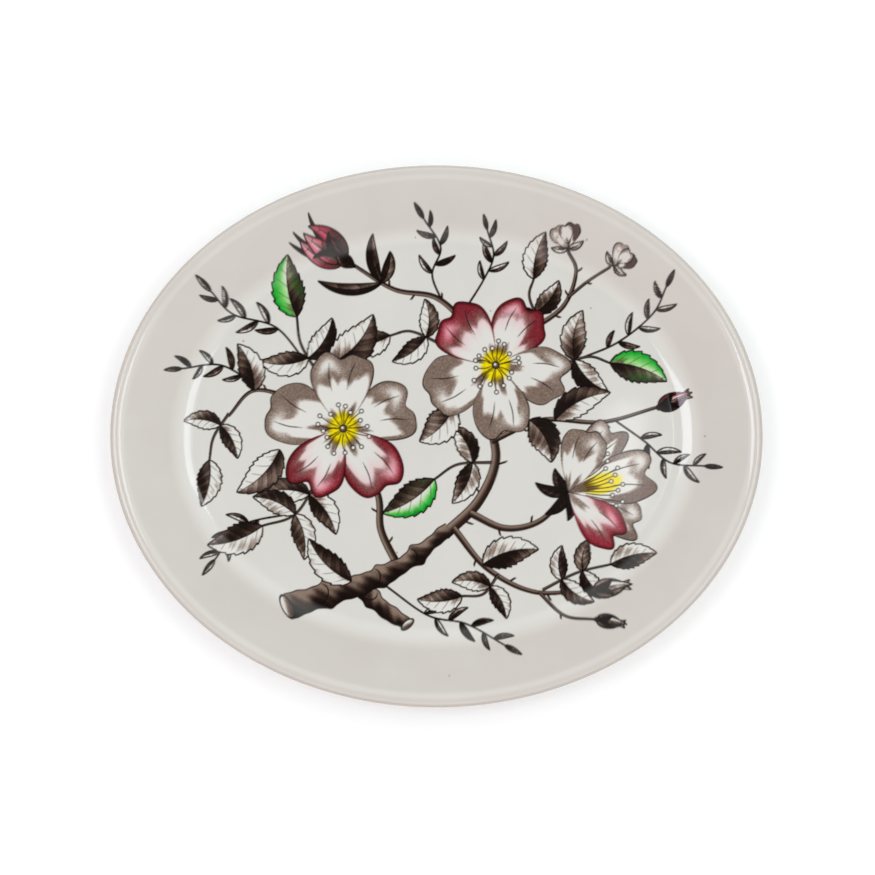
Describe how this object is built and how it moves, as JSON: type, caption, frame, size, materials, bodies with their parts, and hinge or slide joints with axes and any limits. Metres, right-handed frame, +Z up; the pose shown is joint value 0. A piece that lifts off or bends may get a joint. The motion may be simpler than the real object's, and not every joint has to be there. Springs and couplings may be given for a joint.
{
  "type": "oval serving platter",
  "caption": "Oval glazed earthenware serving platter with a rolled lip, a sloping marly, a flat well and an oval foot ring, for serving or display.",
  "frame": {"origin": "middle of the plane that the foot ring stands on, which is also the middle of the oval", "axes": "+X along the long axis, +Y along the short axis towards the top of the printed flower spray, +Z up out of the well"},
  "size_m": [0.305, 0.254, 0.024],
  "materials": {
    "clay": "matte",
    "glaze": "gloss"
  },
  "bodies": {
    "root": {"body": "clay", "glaze": "glaze", "base_glaze": "glaze"}
  },
  "joints": []
}
